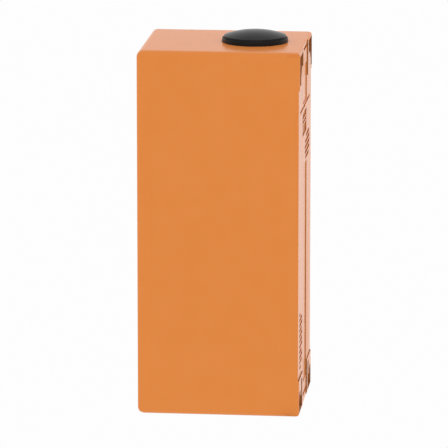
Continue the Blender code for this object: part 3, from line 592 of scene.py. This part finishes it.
screwHead = {
    "socket": 0.5,  # the hexagon's size against the head's radius
    "depth": 0.55,  # how deep the socket goes into the head
    "tip": 0.35,  # the shank's chamfer against its radius
    # the round edge: shares of the head's radius and of its height
    "round": ((0.62, 1.0), (0.8, 0.93), (0.93, 0.74), (1.0, 0.45), (1.0, 0.08), (0.97, 0.0)),
}


def pieceName(node):
    # post_screw_left becomes PostScrewLeft
    return node.replace("_", " ").title().replace(" ", "")


def buildScrew(node, kind):
    low, high, middle = boxParts(node)
    into = np.array(kind["into"], dtype=float)
    if node.startswith("table_screw") and middle[0] > 0:
        into = -into  # the right-hand ones go in from the other side
    line = int(np.argmax(np.abs(into)))
    others = [i for i in range(3) if i != line]
    headRadius = max(high[i] - low[i] for i in others) / 2
    seatDepth = kind["head"]
    length = (high[line] - low[line]) - seatDepth
    seat = middle.copy()
    seat[line] = (low if into[line] > 0 else high)[line] + into[line] * seatDepth
    socket = headRadius * screwHead["socket"]
    depth = seatDepth * screwHead["depth"]
    shank = kind["shank"]
    tip = shank * screwHead["tip"]
    profile = [
        (0.0, seatDepth - depth, 0),
        (socket, seatDepth - depth, 1),
        (socket, seatDepth - 0.06 * headRadius, 1),
        (socket * 1.1, seatDepth, 0.3),
        *((headRadius * across, seatDepth * up, 0) for across, up in screwHead["round"]),
        (shank, 0.0, 0),
        (shank, -length + tip, 0),
        (shank - tip, -length, 0),
        (0.0, -length, 0),
    ]
    turnedSurface(pieceName(node), profile, seat, -into, node, 48)


for node in sorted(cadNodes):
    for prefix, kind in screwKinds.items():
        if node.startswith(prefix):
            buildScrew(node, kind)

post = {
    "edge": 0.5 * mm,
    "frontBore": 3.3 * mm,
    "rearBore": 2.8 * mm,
    "boreDepth": 12 * mm,
    "drillPoint": 1 * mm,
}


def buildPost(node):
    low, high, middle = boxParts(node)
    radius = (high[0] - low[0]) / 2
    length = high[1] - low[1]
    edge = post["edge"]
    depth = post["boreDepth"]
    profile = [
        (0.0, length - depth),
        (post["rearBore"], length - depth + post["drillPoint"]),
        (post["rearBore"], length - edge),
        (post["rearBore"] + edge, length),
        (radius - edge, length),
        (radius, length - edge),
        (radius, edge),
        (radius - edge, 0.0),
        (post["frontBore"] + edge, 0.0),
        (post["frontBore"], edge),
        (post["frontBore"], depth - post["drillPoint"]),
        (0.0, depth),
    ]
    foot = (middle[0], low[1], middle[2])
    turnedSurface(pieceName(node), profile, foot, (0, 1, 0), node, 48)


def buildPlug(node, edge):
    # a plain round piece that stands upright, with its ends broken
    low, high, middle = boxParts(node)
    radius = (high[0] - low[0]) / 2
    profile = [
        (0.0, high[2]),
        (radius - edge, high[2]),
        (radius, high[2] - edge),
        (radius, low[2] + edge * 0.2),
        (radius - edge * 0.2, low[2]),
        (0.0, low[2]),
    ]
    foot = (middle[0], middle[1], 0)
    turnedSurface(pieceName(node), profile, foot, (0, 0, 1), node, 40)


for node in sorted(cadNodes):
    if node.startswith("post_") and not node.startswith("post_screw"):
        buildPost(node)
    if node.startswith("punch_pin"):
        buildPlug(node, 0.3 * mm)
buildPlug("anvil", 0.5 * mm)
print("screws, bolts, posts and pins made")


# ---- hood, with its signs sunk into the front ----

signs = {
    "depth": 0.8 * mm,
    "panel": -65.2 * mm,  # the front face between the pads
    "ticket": {"middle": (-3.5 * mm, 234.5 * mm), "half": (17.5 * mm, 9.5 * mm)},
    "ticketLines": (238.4 * mm, 234.6 * mm),  # heights of the lines left standing
    "ticketLine": 0.7 * mm,  # half the height of such a line
    "ticketMargin": 2.4 * mm,
    "thumb": {"middle": (-1.5 * mm, 250.0 * mm), "half": (8.5 * mm, 3.4 * mm)},
    "pressBars": ((221.0, 12, 40), (216.6, 4, 43), (212.2, 0, 43), (207.8, 2, 42), (203.4, 6, 36)),
    "barHeight": 3.1 * mm,
    "textFrom": -44 * mm,
    "textWidths": (8, 24, 26, 21, 26, 23, 25, 19, 26, 22, 12),
    "textTop": 82.0 * mm,
    "textStep": 4.4 * mm,
    "textHeight": 2.9 * mm,
}


def prism(outline, front, back):
    # the flat outline carried along Y: rows are its front and back edges, and both ends are closed
    flat = np.array(outline)
    count = len(flat)
    rows = [
        np.stack([flat[:, 0], np.full(count, depth), flat[:, 1]], axis=1) for depth in (front, back)
    ]
    points = np.concatenate(rows)
    step = np.arange(count)
    after = np.roll(step, -1)
    sideFaces = np.stack([step, after, after + count, step + count], axis=1)[:, ::-1].tolist()
    return points, sideFaces + [step.tolist(), (step + count)[::-1].tolist()]


def roundedOutline(middle, half, radius, steps=5):
    # a rectangle with round corners, anticlockwise seen from the front
    corners = []
    for side, (xSide, zSide) in enumerate(((1, 1), (-1, 1), (-1, -1), (1, -1))):
        angle = np.pi / 2 * (side + np.linspace(0, 1, steps + 1))
        corners.append(
            np.stack(
                [
                    middle[0] + xSide * (half[0] - radius) + radius * np.cos(angle),
                    middle[1] + zSide * (half[1] - radius) + radius * np.sin(angle),
                ],
                axis=1,
            )
        )
    return np.concatenate(corners)


def signShapes():
    front = signs["panel"] - 2 * mm
    back = signs["panel"] + signs["depth"]
    shapes = []
    ticket = signs["ticket"]
    middle, half = ticket["middle"], ticket["half"]
    cuts = [middle[1] + half[1]]  # the ticket is sunk in bands, with its lines left standing
    for height in signs["ticketLines"]:
        cuts += [height + signs["ticketLine"], height - signs["ticketLine"]]
    cuts.append(middle[1] - half[1])
    for upper, lower in zip(cuts[0::2], cuts[1::2]):
        centre = (middle[0], (upper + lower) / 2)
        size = (half[0], (upper - lower) / 2)
        shapes.append(prism(roundedOutline(centre, size, 0.9 * mm), front, back))
    for xSide in (-1, 1):  # the margins join the bands
        centre = (middle[0] + xSide * (half[0] - signs["ticketMargin"]), middle[1])
        size = (signs["ticketMargin"] - 0.05 * mm, half[1] - 1.2 * mm)
        shapes.append(prism(roundedOutline(centre, size, 0.5 * mm), front, back + 0.02 * mm))
    thumb = signs["thumb"]
    angle = np.linspace(np.pi, 2 * np.pi, 25)
    arc = np.stack(
        [
            thumb["middle"][0] + thumb["half"][0] * np.cos(angle),
            thumb["middle"][1] + thumb["half"][1] * np.sin(angle),
        ],
        axis=1,
    )
    shapes.append(prism(arc, front, back + 0.6 * mm))
    for height, left, right in signs["pressBars"]:  # stacked bars that stand for a pressing hand
        centre = ((left + right) / 2 * mm, height * mm)
        size = ((right - left) / 2 * mm, signs["barHeight"] / 2)
        shapes.append(prism(roundedOutline(centre, size, 1.4 * mm), front, back))
    for line, width in enumerate(signs["textWidths"]):  # plain bars, no lettering
        height = signs["textTop"] - line * signs["textStep"]
        centre = (signs["textFrom"] + width / 2 * mm, height)
        size = (width / 2 * mm, signs["textHeight"] / 2)
        shapes.append(prism(roundedOutline(centre, size, 1.0 * mm), front, back))
    return shapes


def looseObject(name, mesh):
    made = bpy.data.objects.new(name, mesh)
    bpy.context.scene.collection.objects.link(made)
    return made


def buildHood():
    shell = cadNodes["hood"].data.copy()
    body = bmesh.new()
    body.from_mesh(shell)
    bmesh.ops.remove_doubles(body, verts=body.verts, dist=0.000002)
    bmesh.ops.dissolve_limit(
        body, angle_limit=math.radians(0.2), verts=body.verts, edges=body.edges
    )
    body.to_mesh(shell)
    body.free()
    work = looseObject("hoodWork", shell)
    allPoints = []
    allFaces = []
    start = 0
    for points, faces in signShapes():
        allPoints.append(points)
        allFaces += [[corner + start for corner in face] for face in faces]
        start += len(points)
    tool = bpy.data.meshes.new("signTool")
    tool.from_pydata(np.concatenate(allPoints).tolist(), [], allFaces)
    check = bmesh.new()
    check.from_mesh(tool)
    bmesh.ops.recalc_face_normals(check, faces=check.faces)
    check.to_mesh(tool)
    check.free()
    cutter = looseObject("signCutter", tool)
    sink = work.modifiers.new("signs", "BOOLEAN")
    sink.operation = "DIFFERENCE"
    sink.solver = "EXACT"
    sink.use_self = True
    sink.object = cutter
    graph = bpy.context.evaluated_depsgraph_get()
    finished = bpy.data.meshes.new_from_object(work.evaluated_get(graph))
    bpy.data.objects.remove(work)
    bpy.data.objects.remove(cutter)
    markReliefShade(finished, paintedRecessShade)
    finished.name = "hoodShell"
    shellPiece = adopt("hoodShell", finished, "hood", crease=40)
    flatten = shellPiece.modifiers.new("flatten", "WEIGHTED_NORMAL")  # large flats keep their own normal
    flatten.keep_sharp = True
    flatten.weight = 100


buildHood()
print("hood made")


# ---- the remaining CAD nodes keep their own mesh and get a finish ----

for node, piece in cadNodes.items():
    piece.data.materials.clear()
    piece.data.materials.append(finishOfSlot[slotOfNode[node]])
print("CAD nodes finished")


# ---- studio ----

studio = {
    "surround": (0.985, 0.985, 0.985),
    "floorGlow": 0.985,
    "floorSize": 40.0,
    "cameraPlace": (-3.62705, -0.37486, 0.92397),
    "cameraYaw": -5.915,
    "cameraPitch": 12.017,
    "focal": 365.91,
}


def buildStudio():
    scene = bpy.context.scene
    world = bpy.data.worlds.new("studio")
    world.use_nodes = True
    world.node_tree.nodes["Background"].inputs["Color"].default_value = (*studio["surround"], 1)
    scene.world = world
    half = studio["floorSize"] / 2
    mesh = bpy.data.meshes.new("floor")
    corners = [(-half, -half), (half, -half), (half, half), (-half, half)]
    mesh.from_pydata([(x, y, -0.0005) for x, y in corners], [], [(0, 1, 2, 3)])
    pale = bpy.data.materials.new("paleFloor")
    pale.use_nodes = True
    tree = pale.node_tree
    tree.nodes.clear()
    glow = tree.nodes.new("ShaderNodeEmission")
    glow.inputs["Color"].default_value = (1, 1, 1, 1)
    glow.inputs["Strength"].default_value = studio["floorGlow"]
    output = tree.nodes.new("ShaderNodeOutputMaterial")
    tree.links.new(glow.outputs["Emission"], output.inputs["Surface"])
    mesh.materials.append(pale)
    looseObject("floor", mesh)

    camera = bpy.data.objects.new("camera", bpy.data.cameras.new("camera"))
    scene.collection.objects.link(camera)
    camera.location = studio["cameraPlace"]
    yaw = math.radians(studio["cameraYaw"])
    pitch = math.radians(studio["cameraPitch"])
    look = Vector(
        (math.cos(pitch) * math.cos(yaw), -math.cos(pitch) * math.sin(yaw), -math.sin(pitch))
    )
    camera.rotation_mode = "QUATERNION"
    camera.rotation_quaternion = look.to_track_quat("-Z", "Y")
    camera.data.lens = studio["focal"]
    camera.data.clip_start = 0.1
    camera.data.clip_end = 100
    scene.camera = camera
    scene.view_settings.view_transform = "Standard"


buildStudio()
print("studio set")
